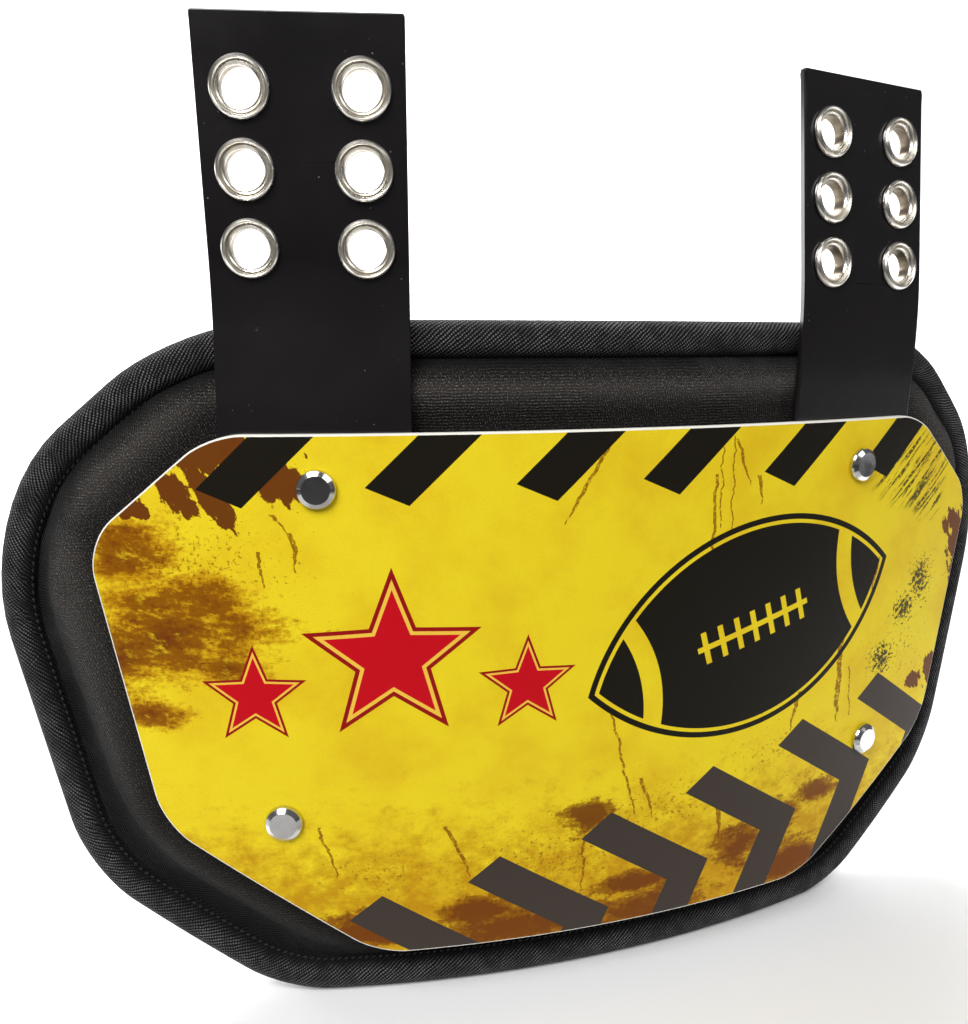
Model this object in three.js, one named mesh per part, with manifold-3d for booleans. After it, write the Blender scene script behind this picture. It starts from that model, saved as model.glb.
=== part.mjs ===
// A football back plate: a curved plastic plate, riveted through two stiff eyelet straps to a padded cushion.
// Units are millimetres and +Z is up. The wearer's back is on the +Y side, and the printed face looks to -Y.
//
// The plate, pad and binding are laid out as flat patterns and bent round one upright axis. A place on them is
//   along   arc length to the right of the middle, measured on the plate's front face
//   height  above the plate's top edge
//   depth   behind the plate's front face
import * as THREE from "three";
import { mergeVertices } from "three/addons/utils/BufferGeometryUtils.js";
import Module from "manifold-3d";

const wasm = await Module();
wasm.setup();

// Driving dimensions
const BEND_RADIUS = 420;
const GAP = 0.3;
const BEND_STEP = 30; // longest straight stretch of an edge that runs round the bend
const ARC_STEPS = 4; // segments in each rounded corner
const SHARPEST_RADIUS = 3; // a corner keeps this radius where it is set far in

const PLATE_THICKNESS = 3;
const PLATE_CORNERS = [
  { along: 112.5, height: 0, radius: 17 },
  { along: 147.5, height: -29, radius: 17 },
  { along: 132, height: -111, radius: 17 },
  { along: 72, height: -154, radius: 20 },
];

const PAD_CORNERS = [
  { along: 123, height: 29.5, radius: 45 },
  { along: 192, height: -23.5, radius: 40 },
  { along: 165, height: -136, radius: 24 },
  { along: 103, height: -176.5, radius: 36 },
];
const PAD_FRONT = 6.5; // depth of the flat that the plate and straps are riveted against
const PAD_BACK = 27;
const PAD_FLAT_INSET = 30; // where the flat ends and the rounded shoulder starts
const CUSHION_FRONT = [
  { inset: 36, depth: 7.2 },
  { inset: 27, depth: 7.4 },
  { inset: 20, depth: 9.4 },
  { inset: 14.5, depth: 12.4 },
  { inset: 10.6, depth: 15.2 },
];
const CUSHION_BACK = [
  { inset: 10.6, depth: 19.8 },
  { inset: 17, depth: 24 },
  { inset: 27, depth: 26.2 },
  { inset: 36, depth: 26.4 },
];

// The binding tape is wrapped round the pad's edge in a roll, with a flat along its outer side.
const ROLL_RADIUS = 6.3;
const ROLL_DEPTH = 17.4;
const TAPE_THICKNESS = 1.4;
const ROLL_ANGLES = [140, 90, 36, -36, -90, -140]; // degrees from straight outwards, front first
const ROLL_INSET = ROLL_RADIUS * Math.cos(THREE.MathUtils.degToRad(36));

const STRAP_WIDTH = 50.8;
const STRAP_THICKNESS = 2;
const STRAP_DEPTH = 4.1; // the strap's front, clear of the plate's back at the strap's edges
const STRAP_ALONG = 85.2;
// Each strap is flat across and takes its own set: rows up the strap, with how far it stands forward.
const STRAP_BENDS = {
  left: [
    { height: -34, forward: 0 },
    { height: 3, forward: 0 },
    { height: 18, forward: -1.3 },
    { height: 36, forward: -2.3 },
    { height: 100.4, forward: 3.6 },
  ],
  right: [
    { height: -34, forward: 0 },
    { height: 3, forward: 0 },
    { height: 18, forward: 0.6 },
    { height: 36, forward: 0.3 },
    { height: 100.4, forward: -6 },
  ],
};

const EYELET_COLUMNS = { inner: 14.6, outer: -14.6 };
const EYELET_HEIGHTS = [83.6, 65.1, 46.6];
const EYELET_SIDES = 12;
const EYELET_HOLE = 5.1;
const EYELET_BARREL = 5.8;
const EYELET_RIM = 7.35;
const EYELET_BACK_RIM = 7.1;
const EYELET_RISE = 1.6;
const EYELET_BACK_RISE = 0.9;

const RIVETS = {
  rivet_upper_left: { along: -85, height: -14.3 },
  rivet_upper_right: { along: 85, height: -14.3 },
  rivet_lower_left: { along: -97.6, height: -109.8 },
  rivet_lower_right: { along: 97.6, height: -109.8 },
};
const RIVET_SIDES = 16;
const RIVET_HEAD_RADIUS = 5.25;
const RIVET_HEAD_HEIGHT = 2.4;
const RIVET_SHANK_RADIUS = 2.5;
const RIVET_FLANGE_RADIUS = 5.5;
const RIVET_FLANGE_THICKNESS = 1.2;
const RECESS_DEPTH = 2.4; // the rivet's back flange sits this far below the pad's back
const RECESS_RADIUS = 7.5;

// Materials
const plastic = (color, roughness) => new THREE.MeshStandardMaterial({ color, roughness, metalness: 0 });
const MATERIALS = {
  plate: plastic(0xe5cb1c, 0.35),
  strap: plastic(0x141415, 0.3),
  pad: plastic(0x2c2b2c, 0.9),
  binding: plastic(0x1c1b1d, 0.85),
  metal: new THREE.MeshStandardMaterial({ color: 0xc9c6bf, roughness: 0.18, metalness: 1 }),
};

// Bending

function bend(along, height, depth) {
  const angle = along / BEND_RADIUS;
  const radius = BEND_RADIUS - depth;
  return new THREE.Vector3(radius * Math.sin(angle), BEND_RADIUS - radius * Math.cos(angle), height);
}

// A group that stands on the bent surface, with its own X along, its Y into the wearer and its Z up.
function standOn(along, height) {
  const group = new THREE.Group();
  group.position.copy(bend(along, height, 0));
  group.rotation.z = along / BEND_RADIUS;
  return group;
}

// Solids

function geometryOf(triangles) {
  const real = triangles.filter(([a, b, c]) => a.distanceTo(b) * b.distanceTo(c) * c.distanceTo(a) > 1e-9);
  const volume = real.reduce((sum, [a, b, c]) => sum + a.dot(b.clone().cross(c)), 0);
  const outward = volume < 0 ? real.map(([a, b, c]) => [a, c, b]) : real;
  return new THREE.BufferGeometry().setFromPoints(outward.flat());
}

const quad = (a, b, c, d) => [[a, b, c], [a, c, d]];

function solidOf(geometry) {
  const bare = geometry.clone();
  bare.deleteAttribute("normal");
  bare.deleteAttribute("uv");
  const merged = mergeVertices(bare, 1e-4);
  const vertProperties = merged.getAttribute("position").array;
  const triVerts = new Uint32Array(merged.index.array);
  return new wasm.Manifold(new wasm.Mesh({ numProp: 3, vertProperties, triVerts }));
}

function geometryFrom(solid) {
  const { vertProperties, triVerts } = solid.getMesh();
  return new THREE.BufferGeometry()
    .setAttribute("position", new THREE.BufferAttribute(vertProperties, 3))
    .setIndex(new THREE.BufferAttribute(triVerts, 1));
}

const cut = (geometry, tools) =>
  geometryFrom(tools.reduce((left, tool) => left.subtract(solidOf(tool)), solidOf(geometry)));
const join = (first, second) => geometryFrom(solidOf(first).add(solidOf(second)));

// A round cutter that runs along a group's Y, from one depth to another.
function borer(group, radius, sides, from, to) {
  group.updateMatrix();
  return new THREE.CylinderGeometry(radius, radius, to - from, sides)
    .translate(0, (from + to) / 2, 0)
    .applyMatrix4(group.matrix);
}

// A turned piece on a group's Y. Profile rows are [radius, distance in front of the group's origin].
function turned(profile, sides) {
  const points = profile.map(([radius, forward]) => new THREE.Vector2(radius, -forward));
  return new THREE.LatheGeometry(points, sides);
}

// Outlines

// The rounded outline of a set of right-hand corners and their mirror images, moved in by inset. It runs clockwise
// from the front, and has the same number of points at every inset.
function outline(corners, inset = 0) {
  const left = corners.map((corner) => ({ ...corner, along: -corner.along })).reverse();
  const loop = [...corners, ...left].map((corner) => ({
    at: new THREE.Vector2(corner.along, corner.height),
    radius: Math.max(corner.radius - inset, SHARPEST_RADIUS),
  }));
  const inwards = loop.map(({ at }, i) => {
    const edge = loop[(i + 1) % loop.length].at.clone().sub(at).normalize();
    return new THREE.Vector2(edge.y, -edge.x);
  });
  const arcs = loop.map(({ at, radius }, i) => {
    const before = inwards.at(i - 1);
    const after = inwards[i];
    const mitre = before.clone().add(after).divideScalar(1 + before.dot(after));
    const centre = at.clone().addScaledVector(mitre, inset + radius);
    const turn = Math.atan2(before.cross(after), before.dot(after));
    return Array.from({ length: ARC_STEPS + 1 }, (_, step) => {
      const spoke = before.clone().rotateAround(new THREE.Vector2(), (turn * step) / ARC_STEPS);
      return centre.clone().addScaledVector(spoke, -radius);
    });
  });
  return arcs.flatMap((arc, i) => {
    const next = arcs[(i + 1) % arcs.length][0];
    const run = Math.abs(loop[(i + 1) % loop.length].at.x - loop[i].at.x);
    const pieces = Math.ceil(run / BEND_STEP);
    const between = Array.from({ length: pieces - 1 }, (_, k) => arc.at(-1).clone().lerp(next, (k + 1) / pieces));
    return [...arc, ...between];
  });
}

// The lowest and highest point of a convex outline at one place along.
function spanAt(points, along) {
  const heights = points.flatMap((a, i) => {
    const b = points[(i + 1) % points.length];
    if (along < Math.min(a.x, b.x) - 1e-6 || along > Math.max(a.x, b.x) + 1e-6) return [];
    if (Math.abs(b.x - a.x) < 1e-6) return [a.y, b.y];
    return [a.y + ((b.y - a.y) * (along - a.x)) / (b.x - a.x)];
  });
  return { low: Math.min(...heights), high: Math.max(...heights) };
}

// A slab of one outline between two depths, made of upright columns so that it bends true.
function slab(points, front, back) {
  const stations = [];
  for (const along of points.map((point) => point.x).sort((a, b) => a - b)) {
    if (!stations.length || along - stations.at(-1) > 0.05) stations.push(along);
  }
  const columns = stations.map((along) => {
    const { low, high } = spanAt(points, along);
    return [bend(along, high, front), bend(along, low, front), bend(along, low, back), bend(along, high, back)];
  });
  const first = columns[0];
  const last = columns.at(-1);
  const walls = columns.slice(1).flatMap((column, i) =>
    column.flatMap((_, k) => {
      const next = (k + 1) % column.length;
      return quad(columns[i][k], columns[i][next], column[next], column[k]);
    }),
  );
  return geometryOf([...quad(...first.toReversed()), ...walls, ...quad(...last)]);
}

// A ring that follows an outline. Section rows are { inset, depth } round a closed loop.
function ring(corners, section) {
  const loops = section.map(({ inset, depth }) =>
    outline(corners, inset).map((point) => bend(point.x, point.y, depth)),
  );
  const triangles = loops.flatMap((loop, j) => {
    const nextLoop = loops[(j + 1) % loops.length];
    return loop.flatMap((point, i) => {
      const next = (i + 1) % loop.length;
      return quad(point, loop[next], nextLoop[next], nextLoop[i]);
    });
  });
  return geometryOf(triangles);
}

// Points round the roll at the pad's edge, at one radius about its core.
function roll(radius) {
  return ROLL_ANGLES.map((degrees) => {
    const angle = THREE.MathUtils.degToRad(degrees);
    return { inset: ROLL_INSET - radius * Math.cos(angle), depth: ROLL_DEPTH - radius * Math.sin(angle) };
  });
}

// Pieces

const backPlate = new THREE.Group();

function addTo(group, name, geometry, material) {
  const mesh = new THREE.Mesh(geometry, material);
  mesh.name = name;
  group.add(mesh);
  return mesh;
}

const rivetStands = Object.values(RIVETS).map(({ along, height }) => standOn(along, height));
const rivetHoles = rivetStands.map((stand) =>
  borer(stand, RIVET_SHANK_RADIUS + GAP, RIVET_SIDES, -RIVET_HEAD_HEIGHT, PAD_BACK + RECESS_DEPTH),
);

function makePlate() {
  const flat = slab(outline(PLATE_CORNERS), 0, PLATE_THICKNESS);
  addTo(backPlate, "plate", cut(flat, rivetHoles), MATERIALS.plate);
}

function makePad() {
  const middle = slab(outline(PAD_CORNERS, PAD_FLAT_INSET), PAD_FRONT, PAD_BACK);
  const core = roll(ROLL_RADIUS - TAPE_THICKNESS - GAP);
  const edge = ring(PAD_CORNERS, [...CUSHION_FRONT, ...core, ...CUSHION_BACK]);
  const recesses = rivetStands.map((stand) =>
    borer(stand, RECESS_RADIUS, RIVET_SIDES, PAD_BACK - RECESS_DEPTH, PAD_BACK + RECESS_DEPTH),
  );
  addTo(backPlate, "pad", cut(join(middle, edge), [...rivetHoles, ...recesses]), MATERIALS.pad);
}

function makeBinding() {
  const section = [...roll(ROLL_RADIUS), ...roll(ROLL_RADIUS - TAPE_THICKNESS).reverse()];
  addTo(backPlate, "edge_binding", ring(PAD_CORNERS, section), MATERIALS.binding);
}

// A strap's own frame has its X across, its Y into the wearer and its Z up from the plate's top edge.
function strapBody(rows) {
  const sections = rows.map(({ height, forward }) => {
    const front = STRAP_DEPTH - forward;
    const back = front + STRAP_THICKNESS;
    const half = STRAP_WIDTH / 2;
    return [[-half, front], [half, front], [half, back], [-half, back]].map(
      ([across, depth]) => new THREE.Vector3(across, depth, height),
    );
  });
  const walls = sections.slice(1).flatMap((upper, i) =>
    upper.flatMap((_, k) => {
      const next = (k + 1) % upper.length;
      return quad(sections[i][k], sections[i][next], upper[next], upper[k]);
    }),
  );
  return geometryOf([...quad(...sections[0].toReversed()), ...walls, ...quad(...sections.at(-1))]);
}

// Where an eyelet stands on the straight upper stretch of a strap, on the strap's front and square to it.
function eyeletStand(rows, across, height) {
  const [low, high] = rows.slice(-2);
  const slope = (high.forward - low.forward) / (high.height - low.height);
  const stand = new THREE.Group();
  stand.position.set(across, STRAP_DEPTH - low.forward - slope * (height - low.height), height);
  stand.rotation.x = Math.atan(slope);
  return stand;
}

function eyeletShape() {
  const crest = (EYELET_HOLE + EYELET_RIM) / 2;
  const underBack = -STRAP_THICKNESS - GAP;
  const backFace = underBack - EYELET_BACK_RISE;
  const profile = [
    [EYELET_HOLE, backFace],
    [EYELET_HOLE, EYELET_RISE * 0.5],
    [EYELET_HOLE + 0.4, EYELET_RISE * 0.88],
    [crest, EYELET_RISE],
    [EYELET_RIM - 0.5, EYELET_RISE * 0.75],
    [EYELET_RIM, GAP],
    [EYELET_BARREL, GAP],
    [EYELET_BARREL, underBack],
    [EYELET_BACK_RIM, underBack],
    [EYELET_BACK_RIM, backFace],
  ];
  return turned([...profile, profile[0]], EYELET_SIDES);
}

function makeStrap(side, along) {
  const rows = STRAP_BENDS[side];
  const strap = standOn(along, 0);
  const eyelets = EYELET_HEIGHTS.flatMap((height, row) =>
    Object.entries(EYELET_COLUMNS).map(([column, across]) => ({
      name: `eyelet_${side}_${column}_${row + 1}`,
      stand: eyeletStand(rows, -Math.sign(along) * across, height),
    })),
  );
  const eyeletHoles = eyelets.map(({ stand }) =>
    borer(stand, EYELET_BARREL + GAP, EYELET_SIDES, -STRAP_THICKNESS, 2 * STRAP_THICKNESS),
  );
  const { along: rivetAlong, height: rivetHeight } = RIVETS[`rivet_upper_${side}`];
  const rivetStand = new THREE.Group();
  rivetStand.position.set(rivetAlong - along, 0, rivetHeight);
  const rivetHole = borer(rivetStand, RIVET_SHANK_RADIUS + GAP, RIVET_SIDES, 0, PAD_BACK);
  addTo(strap, `strap_${side}`, cut(strapBody(rows), [...eyeletHoles, rivetHole]), MATERIALS.strap);
  for (const { name, stand } of eyelets) {
    addTo(stand, name, eyeletShape(), MATERIALS.metal);
    strap.add(stand);
  }
  backPlate.add(strap);
}

function makeRivets() {
  const flange = PAD_BACK - RECESS_DEPTH + GAP;
  const profile = [
    [0, RIVET_HEAD_HEIGHT],
    [RIVET_HEAD_RADIUS * 0.78, RIVET_HEAD_HEIGHT],
    [RIVET_HEAD_RADIUS * 0.93, RIVET_HEAD_HEIGHT * 0.8],
    [RIVET_HEAD_RADIUS, RIVET_HEAD_HEIGHT * 0.45],
    [RIVET_HEAD_RADIUS, GAP],
    [RIVET_SHANK_RADIUS, GAP],
    [RIVET_SHANK_RADIUS, -flange],
    [RIVET_FLANGE_RADIUS, -flange],
    [RIVET_FLANGE_RADIUS, -flange - RIVET_FLANGE_THICKNESS],
    [0, -flange - RIVET_FLANGE_THICKNESS],
  ];
  Object.keys(RIVETS).forEach((name, i) => {
    addTo(rivetStands[i], name, turned(profile, RIVET_SIDES), MATERIALS.metal);
    backPlate.add(rivetStands[i]);
  });
}

makePlate();
makePad();
makeBinding();
makeStrap("left", -STRAP_ALONG);
makeStrap("right", STRAP_ALONG);
makeRivets();

// The assembly stands on the lower edge of its binding, with the origin at the bottom middle of its box.
const box = new THREE.Box3().setFromObject(backPlate, true);
const middle = box.getCenter(new THREE.Vector3());
backPlate.position.set(-middle.x, -middle.y, -box.min.z);

export default backPlate;
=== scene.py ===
import math

import bmesh
import bpy
from mathutils import Matrix, Vector


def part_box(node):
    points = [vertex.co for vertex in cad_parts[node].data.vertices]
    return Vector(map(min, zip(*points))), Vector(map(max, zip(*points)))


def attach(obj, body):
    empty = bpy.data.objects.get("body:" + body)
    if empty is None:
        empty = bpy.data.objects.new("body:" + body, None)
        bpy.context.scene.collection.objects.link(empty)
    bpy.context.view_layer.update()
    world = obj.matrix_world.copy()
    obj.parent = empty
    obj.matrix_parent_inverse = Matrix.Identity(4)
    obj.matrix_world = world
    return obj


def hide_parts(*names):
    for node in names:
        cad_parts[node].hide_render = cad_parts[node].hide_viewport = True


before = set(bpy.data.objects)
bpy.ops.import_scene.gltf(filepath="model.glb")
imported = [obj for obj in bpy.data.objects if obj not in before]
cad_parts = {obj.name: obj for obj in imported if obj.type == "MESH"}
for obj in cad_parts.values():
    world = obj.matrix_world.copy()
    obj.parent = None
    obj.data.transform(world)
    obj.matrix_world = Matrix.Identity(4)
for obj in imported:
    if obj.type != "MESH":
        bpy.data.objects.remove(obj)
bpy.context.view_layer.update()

# Photo table and camera.
# A pale sweep of paper in a pale room, lit by large soft boxes. A grey card and a dark rug lie in front
# for the metal and the plastic to mirror, out of sight. The camera stands close, a little left and above.
PLATE_LOW, PLATE_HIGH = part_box("plate")
FRONT = PLATE_LOW[1]
TOP = PLATE_HIGH[2]

CAMERA_TURN = math.radians(-15.74)
CAMERA_RISE = math.radians(11.44)
CAMERA_DISTANCE = 0.2285
CAMERA_LENS = 30.02
CAMERA_AIM = Vector((-0.0412, FRONT, TOP - 0.0211))
PAPER_HALF_WIDTH = 3.0
PAPER_PROFILE = ((-1.0, 0.0), (2.2, 0.0), (2.2, 3.0))
PAPER_CURVE = 1.2
RUG_HALF = 1.4
RUG_PLACE = (0, -1.47, 0.004)
CARD_HALF = 0.075
CARD_PLACE = (0, -0.145, 0.006)
CARD_STRETCH = 6
ROOM_RADIUS = 9
ROOM_GLOW = 0.66
SKY_GLOW = 0.12

towards_camera = Vector((
    math.sin(CAMERA_TURN) * math.cos(CAMERA_RISE),
    -math.cos(CAMERA_TURN) * math.cos(CAMERA_RISE),
    math.sin(CAMERA_RISE),
))
camera_data = bpy.data.cameras.new("photo_camera")
camera_data.lens = CAMERA_LENS
camera_data.sensor_width = 36.0
camera_data.clip_start = 0.01
camera = bpy.data.objects.new("photo_camera", camera_data)
camera.location = CAMERA_AIM + towards_camera * CAMERA_DISTANCE
camera.rotation_euler = (-towards_camera).to_track_quat("-Z", "Y").to_euler()
bpy.context.collection.objects.link(camera)
bpy.context.scene.camera = camera
bpy.context.scene.view_settings.view_transform = "Standard"


def new_material(name):
    """A material with its shader and an empty tree round it."""
    material = bpy.data.materials.new(name)
    material.use_nodes = True
    tree = material.node_tree
    return material, tree, tree.nodes["Principled BSDF"]


def linear(red, green, blue):
    """A colour given as it shows on a screen, from 0 to 255, as the renderer takes it."""
    parts = [c / 255 for c in (red, green, blue)]
    return (*(c / 12.92 if c <= 0.04045 else ((c + 0.055) / 1.055) ** 2.4 for c in parts), 1.0)


def add_object(name, bm, materials, crease=None):
    """Turns a finished bmesh into a smooth object at the origin, sharp past a crease angle."""
    mesh = bpy.data.meshes.new(name)
    bm.to_mesh(mesh)
    bm.free()
    for material in materials:
        mesh.materials.append(material)
    for polygon in mesh.polygons:
        polygon.use_smooth = True
    if crease:
        mesh.set_sharp_from_angle(angle=crease)
    made = bpy.data.objects.new(name, mesh)
    bpy.context.collection.objects.link(made)
    return made


def plain_grey(name, grey, roughness):
    """A material of one grey all over."""
    material, _, shader = new_material(name)
    shader.inputs["Base Color"].default_value = (grey, grey, grey, 1)
    shader.inputs["Roughness"].default_value = roughness
    return material


paper = plain_grey("backdrop_paper", 0.93, 0.9)
sweep = bmesh.new()
sweep_profile = [sweep.verts.new((-PAPER_HALF_WIDTH, y, z)) for y, z in PAPER_PROFILE]
for pair in zip(sweep_profile, sweep_profile[1:]):
    sweep.edges.new(pair)
bmesh.ops.bevel(
    sweep, geom=[sweep_profile[1]], offset=PAPER_CURVE, segments=16, profile=0.5,
    affect="VERTICES", material=-1)
extruded = bmesh.ops.extrude_edge_only(sweep, edges=sweep.edges[:])
far_side = [v for v in extruded["geom"] if isinstance(v, bmesh.types.BMVert)]
bmesh.ops.translate(sweep, vec=(2 * PAPER_HALF_WIDTH, 0, 0), verts=far_side)
bmesh.ops.recalc_face_normals(sweep, faces=sweep.faces[:])
add_object("backdrop", sweep, [paper])

carpet = plain_grey("dark_carpet", 0.012, 1.0)
card = plain_grey("grey_card", 0.42, 1.0)
rug = bmesh.new()
facing = Matrix.Rotation(CAMERA_TURN, 4, "Z")
rug_stand = facing @ Matrix.Translation(RUG_PLACE)
card_stand = facing @ Matrix.Translation(CARD_PLACE) @ Matrix.Diagonal((CARD_STRETCH, 1, 1, 1))
bmesh.ops.create_grid(rug, x_segments=1, y_segments=1, size=RUG_HALF, matrix=rug_stand)
near_card = bmesh.ops.create_grid(rug, x_segments=1, y_segments=1, size=CARD_HALF, matrix=card_stand)
for face in {face for vert in near_card["verts"] for face in vert.link_faces}:
    face.material_index = 1
dark_rug = add_object("dark_rug", rug, [carpet, card])
dark_rug.visible_camera = False
dark_rug.visible_shadow = False

room_wall, _, room_shader = new_material("room_wall")
room_shader.inputs["Base Color"].default_value = (0, 0, 0, 1)
room_shader.inputs["Emission Color"].default_value = (1, 1, 1, 1)
room_shader.inputs["Emission Strength"].default_value = ROOM_GLOW
room_bm = bmesh.new()
bmesh.ops.create_icosphere(room_bm, subdivisions=4, radius=ROOM_RADIUS)
pale_room = add_object("pale_room", room_bm, [room_wall])
pale_room.visible_diffuse = False
pale_room.visible_glossy = False
pale_room.visible_transmission = False
pale_room.visible_shadow = False

world = bpy.data.worlds.new("studio")
bpy.context.scene.world = world
world.use_nodes = True
world.node_tree.nodes["Background"].inputs["Color"].default_value = (1, 1, 1, 1)
world.node_tree.nodes["Background"].inputs["Strength"].default_value = SKY_GLOW

SOFT_BOXES = [
    # name, place, aim, size, power
    ("key_box", (-0.5, -0.62, 0.86), (0, 0, 0.14), 0.6, 12.2),
    ("fill_box", (0.8, -1.2, 1.2), (0, 0, 0.12), 0.8, 6),
    ("top_box", (0.1, 0.7, 1.35), (0, 0, 0.1), 0.7, 20),
    ("wall_box", (0.5, 1.0, 1.5), (0.5, 2.4, 1.0), 2.4, 90),
    ("side_box", (-1.05, 0.65, 0.37), (0.06, 0, 0.24), 0.35, 4),
]
for name, place, aim, size, power in SOFT_BOXES:
    light = bpy.data.lights.new(name, "AREA")
    light.energy = power
    light.size = size
    lamp = bpy.data.objects.new(name, light)
    lamp.location = place
    lamp.rotation_euler = (Vector(aim) - Vector(place)).to_track_quat("-Z", "Y").to_euler()
    bpy.context.collection.objects.link(lamp)

# Pad.
# A moulded foam cushion in a dark ribbed knit, cut flat, swelled, and then bent round the wearer's back.
# Its rim sinks into the binding's groove, the plate presses its front in, and the rivets dimple its back.
BEND_RADIUS = 0.420
PAD_CORNERS = [
    # along, height above the plate's top, length of the rounding on each side
    (0.123, 0.0295, 0.027),
    (0.192, -0.0235, 0.039),
    (0.165, -0.136, 0.0175),
    (0.103, -0.1765, 0.0145),
]
CUSHION_CORNERS = [
    (0.1187, 0.0185, 0.019),
    (0.1756, -0.0251, 0.034),
    (0.1472, -0.1241, 0.020),
    (0.0875, -0.1631, 0.017),
]
CUSHION_FRONT = 0.0066
CUSHION_BACK = 0.0266
FRONT_SHOULDER = 0.0090
BACK_SHOULDER = 0.0065
FLANGE_INSET = 0.0080
FLANGE_FRONT = 0.0156
FLANGE_BACK = 0.0216
PAD_MIDDLE = 0.0174
FRONT_HALF = 0.016
VOXEL = 0.0032
HELD_FROM, HELD_TO = 0.0150, 0.0222
RIVET_HOLD = 0.007
SWELL_PRESSURE = 4.0
SWELL_FRAMES = 16
SWELL_CAP = 0.0025
BACK_CREST = 0.8
RIVET_PLACES = {
    "rivet_upper_left": (-0.085, -0.0143),
    "rivet_upper_right": (0.085, -0.0143),
    "rivet_lower_left": (-0.0976, -0.1098),
    "rivet_lower_right": (0.0976, -0.1098),
}
DIMPLE_RADIUS = 0.020
DIMPLE_FLOOR = 0.0243
PLATE_CORNERS = [
    # along, height above the plate's top, length of the rounding on each side
    (0.1125, 0.0, 0.0085),
    (0.1475, -0.029, 0.0100),
    (0.132, -0.111, 0.0095),
    (0.072, -0.154, 0.0085),
]
PRESS_BAND = 0.0125
PRESS_DEPTH = 0.0030


def flat_sheet(corners, depth):
    """A flat face laid out as (along, depth, height), with its corners rounded on both sides."""
    bm = bmesh.new()
    right = [bm.verts.new((along, depth, height)) for along, height, _ in corners]
    left = [bm.verts.new((-along, depth, height)) for along, height, _ in corners]
    bm.faces.new(right + left[::-1])
    for pair, (_, _, rounding) in zip(zip(right, left), corners):
        bmesh.ops.bevel(
            bm, geom=list(pair), offset=rounding, segments=10, profile=0.5, affect="VERTICES", material=-1)
    return bm


def slice_upright(bm, reach, step):
    """Cuts a flat sheet into upright strips, so that it can bend."""
    count = int(reach / step)
    for k in range(-count, count + 1):
        geom = bm.verts[:] + bm.edges[:] + bm.faces[:]
        bmesh.ops.bisect_plane(bm, geom=geom, plane_co=(k * step, 0, 0), plane_no=(1, 0, 0), dist=1e-7)


def thicken(bm, thickness):
    """Gives a flat sheet its thickness, away from the viewer."""
    grown = bmesh.ops.extrude_face_region(bm, geom=bm.faces[:])
    moved = [v for v in grown["geom"] if isinstance(v, bmesh.types.BMVert)]
    bmesh.ops.translate(bm, vec=(0, thickness, 0), verts=moved)
    bmesh.ops.recalc_face_normals(bm, faces=bm.faces[:])


def rim_edges(bm, depth):
    """The sharp edges of a slab that lie at one depth."""
    return [
        edge for edge in bm.edges
        if all(abs(v.co.y - depth) < 1e-6 for v in edge.verts) and edge.calc_face_angle(0) > 1.0
    ]


def lay_flat_map(bm, name):
    """A map of the flat pattern, in metres, for the weave and the print."""
    layer = bm.loops.layers.uv.new(name)
    for face in bm.faces:
        for loop in face.loops:
            loop[layer].uv = (loop.vert.co.x, loop.vert.co.z)


def bent(along, depth, height):
    """Where a place on the flat pattern comes to lie once it is bent."""
    angle = along / BEND_RADIUS
    radius = BEND_RADIUS - depth
    return Vector((radius * math.sin(angle), FRONT + BEND_RADIUS - radius * math.cos(angle), TOP + height))


def bend(bm):
    """Bends a whole flat pattern round the upright axis behind the plate."""
    for vert in bm.verts:
        vert.co = bent(*vert.co)


def eased(share):
    """A share from 0 to 1 with soft ends."""
    share = max(0.0, min(1.0, share))
    return share * share * (3 - 2 * share)


def outside_plate(along, height):
    """How far a flat place lies outside the plate's sides, or less than 0 within them."""
    reach = max(height, PLATE_CORNERS[-1][1] - height)
    for (a, b, _), (c, d, _) in zip(PLATE_CORNERS, PLATE_CORNERS[1:]):
        away = ((abs(along) - a) * (b - d) + (height - b) * (c - a)) / math.dist((a, b), (c, d))
        reach = max(reach, away)
    return reach


def applied(made):
    """The mesh of an object with its modifiers worked in."""
    graph = bpy.context.evaluated_depsgraph_get()
    return bpy.data.meshes.new_from_object(made.evaluated_get(graph), depsgraph=graph)


cushion = flat_sheet(CUSHION_CORNERS, CUSHION_FRONT)
thicken(cushion, CUSHION_BACK - CUSHION_FRONT)
for rim_depth, shoulder in ((CUSHION_FRONT, FRONT_SHOULDER), (CUSHION_BACK, BACK_SHOULDER)):
    bmesh.ops.bevel(
        cushion, geom=rim_edges(cushion, rim_depth), offset=shoulder, segments=6, profile=0.5,
        affect="EDGES", material=-1)
flange = flat_sheet(PAD_CORNERS, FLANGE_FRONT)
rim = bmesh.ops.inset_region(
    flange, faces=flange.faces[:], thickness=FLANGE_INSET, use_even_offset=True, use_boundary=True)
bmesh.ops.delete(flange, geom=rim["faces"], context="FACES")
thicken(flange, FLANGE_BACK - FLANGE_FRONT)
flange_mesh = bpy.data.meshes.new("flange_draft")
flange.to_mesh(flange_mesh)
flange.free()
cushion.from_mesh(flange_mesh)
bpy.data.meshes.remove(flange_mesh)

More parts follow.
